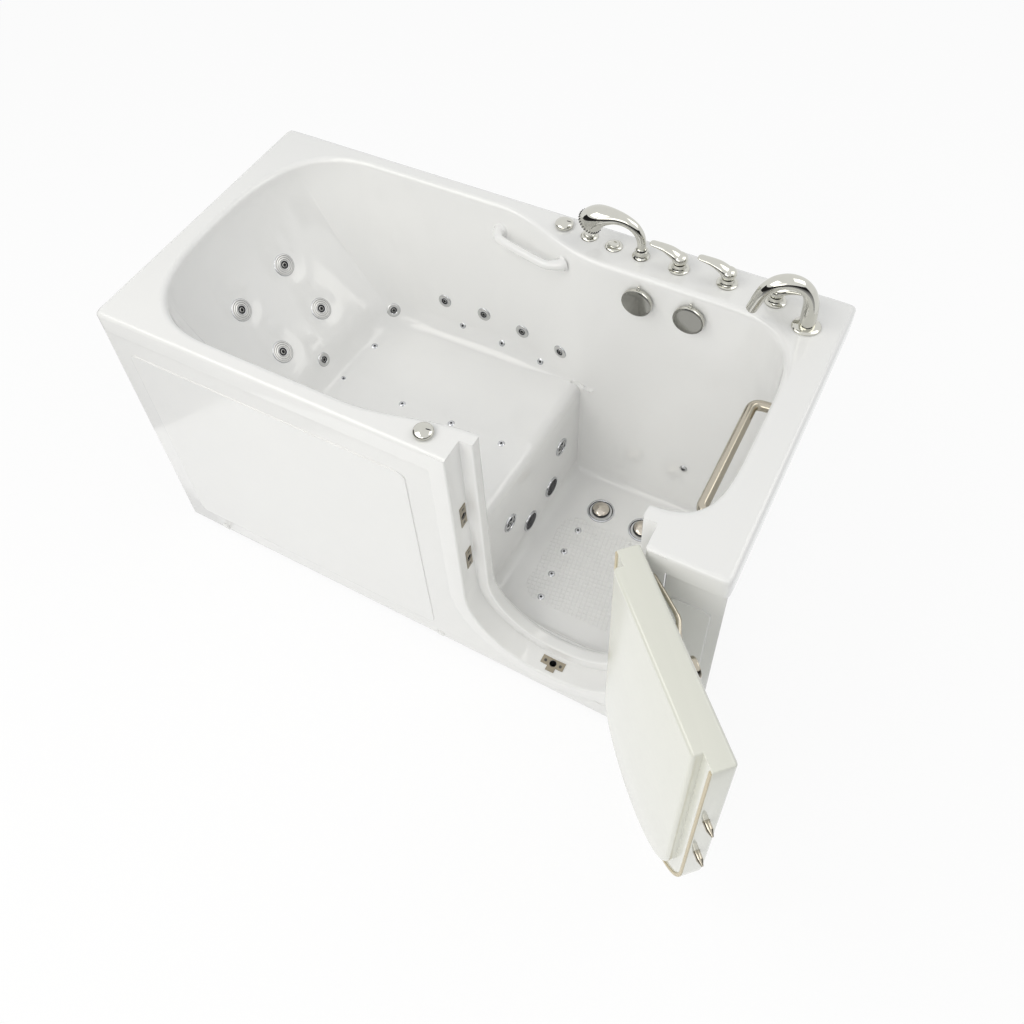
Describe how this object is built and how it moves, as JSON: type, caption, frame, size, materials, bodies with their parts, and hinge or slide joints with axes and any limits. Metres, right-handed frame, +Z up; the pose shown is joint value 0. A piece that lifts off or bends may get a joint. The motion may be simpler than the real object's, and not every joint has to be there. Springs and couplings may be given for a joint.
{
  "type": "walk in bathtub with door",
  "caption": "Walk-in bathtub with a moulded seat and backrest, an outward-opening U-shaped door, air and water jets, deck taps, a hand shower and two grab rails.",
  "frame": {"origin": "on the floor under the middle of the tub, on the foot of the middle levelling leg", "axes": "+X along the tub to the viewer's right, +Y from the front apron to the back wall, +Z up from the floor"},
  "size_m": [1.6445, 1.0937, 0.992],
  "materials": {
    "white_acrylic": "gloss moulded acrylic",
    "door_acrylic": "gloss moulded acrylic, slightly creamy",
    "beige_seal": "smooth soft seal",
    "chrome": "polished",
    "stainless": "satin, slightly warm",
    "frame_steel": "grey powder coat",
    "zinc_steel": "zinc plated",
    "grey_plastic": "satin"
  },
  "bodies": {
    "tub": {"tub_shell": "white_acrylic", "front_apron": "white_acrylic", "right_front_panel": "white_acrylic", "apron_clips": "white_acrylic", "support_frame": "frame_steel", "levelling_feet": "zinc_steel", "foot_lock_nuts": "zinc_steel", "frame_hinge_leaves": "stainless", "hinge_pins": "stainless", "side_strikes": "stainless", "strike_screws": "stainless", "bottom_strike": "stainless", "large_backrest_jets": "chrome", "hydro_jet_set": "chrome", "foot_jet_set": "chrome", "air_jets": "chrome", "jet_nuts": "grey_plastic", "suction_covers": "chrome", "drain_bodies": "chrome", "overflow_bodies": "chrome", "waste_pipes": "grey_plastic", "valve_bodies": "chrome", "spout": "chrome", "shower_holder": "chrome", "knob_bodies": "chrome", "button_bodies": "chrome", "grab_bar": "stainless", "grab_handle": "white_acrylic"},
    "door": {"door_outer_shell": "door_acrylic", "door_inner_shell": "door_acrylic", "door_seal": "beige_seal", "door_hinge_leaves": "stainless"},
    "handle": {"door_handle": "chrome", "latch_spindle": "stainless"},
    "side_bolts": {"side_bolts": "stainless"},
    "bottom_bolt": {"bottom_bolt": "stainless"},
    "left_lever": {"valve_lever_left": "chrome"},
    "middle_lever": {"valve_lever_middle": "chrome"},
    "right_lever": {"valve_lever_right": "chrome"},
    "left_overflow_knob": {"overflow_knob_left": "chrome"},
    "right_overflow_knob": {"overflow_knob_right": "chrome"},
    "left_stopper": {"drain_stopper_left": "chrome"},
    "right_stopper": {"drain_stopper_right": "chrome"},
    "left_button": {"left_button": "chrome"},
    "right_button": {"right_button": "chrome"},
    "front_knob": {"front_knob": "chrome"},
    "back_knob": {"back_knob": "chrome"},
    "hand_shower": {"hand_shower": "chrome"}
  },
  "joints": [
    {"name": "door_hinge", "type": "hinge", "parent": "tub", "child": "door", "pos_m": [0.5903, -0.3745, 0.4], "axis": [0, 0, 1], "range_deg": [-135, 0]},
    {"name": "handle_turn", "type": "hinge", "parent": "door", "child": "handle", "pos_m": [0.7337, -0.52144, 0.74], "axis": [0.7071, 0.7071, 0], "range_deg": [0, 75]},
    {"name": "side_bolt_draw", "type": "slide", "parent": "door", "child": "side_bolts", "axis": [-0.7071, 0.7071, 0], "range_m": [0, 0.03]},
    {"name": "bottom_bolt_draw", "type": "slide", "parent": "door", "child": "bottom_bolt", "axis": [0, 0, 1], "range_m": [0, 0.03]},
    {"name": "left_lever_turn", "type": "hinge", "parent": "tub", "child": "left_lever", "pos_m": [0.375, 0.32, 0.865], "axis": [0, 0, 1], "range_deg": [0, 90]},
    {"name": "middle_lever_turn", "type": "hinge", "parent": "tub", "child": "middle_lever", "pos_m": [0.488, 0.322, 0.865], "axis": [0, 0, 1], "range_deg": [0, 90]},
    {"name": "right_lever_turn", "type": "hinge", "parent": "tub", "child": "right_lever", "pos_m": [0.6, 0.315, 0.865], "axis": [0, 0, 1], "range_deg": [-10, 45]},
    {"name": "left_overflow_turn", "type": "hinge", "parent": "tub", "child": "left_overflow_knob", "pos_m": [0.31053, 0.25319, 0.77836], "axis": [0, -0.9986, 0.0532], "range_deg": [0, 90]},
    {"name": "right_overflow_turn", "type": "hinge", "parent": "tub", "child": "right_overflow_knob", "pos_m": [0.43575, 0.25319, 0.77836], "axis": [0, -0.9986, 0.0532], "range_deg": [0, 90]},
    {"name": "left_stopper_lift", "type": "slide", "parent": "tub", "child": "left_stopper", "axis": [0, 0, 1], "range_m": [0, 0.008]},
    {"name": "right_stopper_lift", "type": "slide", "parent": "tub", "child": "right_stopper", "axis": [0, 0, 1], "range_m": [0, 0.008]},
    {"name": "left_button_press", "type": "slide", "parent": "tub", "child": "left_button", "axis": [0, 0, -1], "range_m": [0, 0.003], "stiffness_N_per_m": 400},
    {"name": "right_button_press", "type": "slide", "parent": "tub", "child": "right_button", "axis": [0, 0, -1], "range_m": [0, 0.003], "stiffness_N_per_m": 400},
    {"name": "front_knob_turn", "type": "hinge", "parent": "tub", "child": "front_knob", "pos_m": [0.1, -0.338, 0.845], "axis": [0, 0, 1], "range_deg": [0, 120]},
    {"name": "back_knob_turn", "type": "hinge", "parent": "tub", "child": "back_knob", "pos_m": [0.078, 0.34, 0.845], "axis": [0, 0, 1], "range_deg": [0, 120]},
    {"name": "hand_shower_lift", "type": "slide", "parent": "tub", "child": "hand_shower", "axis": [0, 0, 1], "range_m": [0, 0.12]}
  ],
  "couplings": [
    {"joint": "side_bolt_draw", "follows": "handle_turn", "m_per_rad": 0.0229},
    {"joint": "bottom_bolt_draw", "follows": "handle_turn", "m_per_rad": 0.0229},
    {"joint": "left_stopper_lift", "follows": "left_overflow_turn", "m_per_rad": 0.00509},
    {"joint": "right_stopper_lift", "follows": "right_overflow_turn", "m_per_rad": 0.00509}
  ]
}
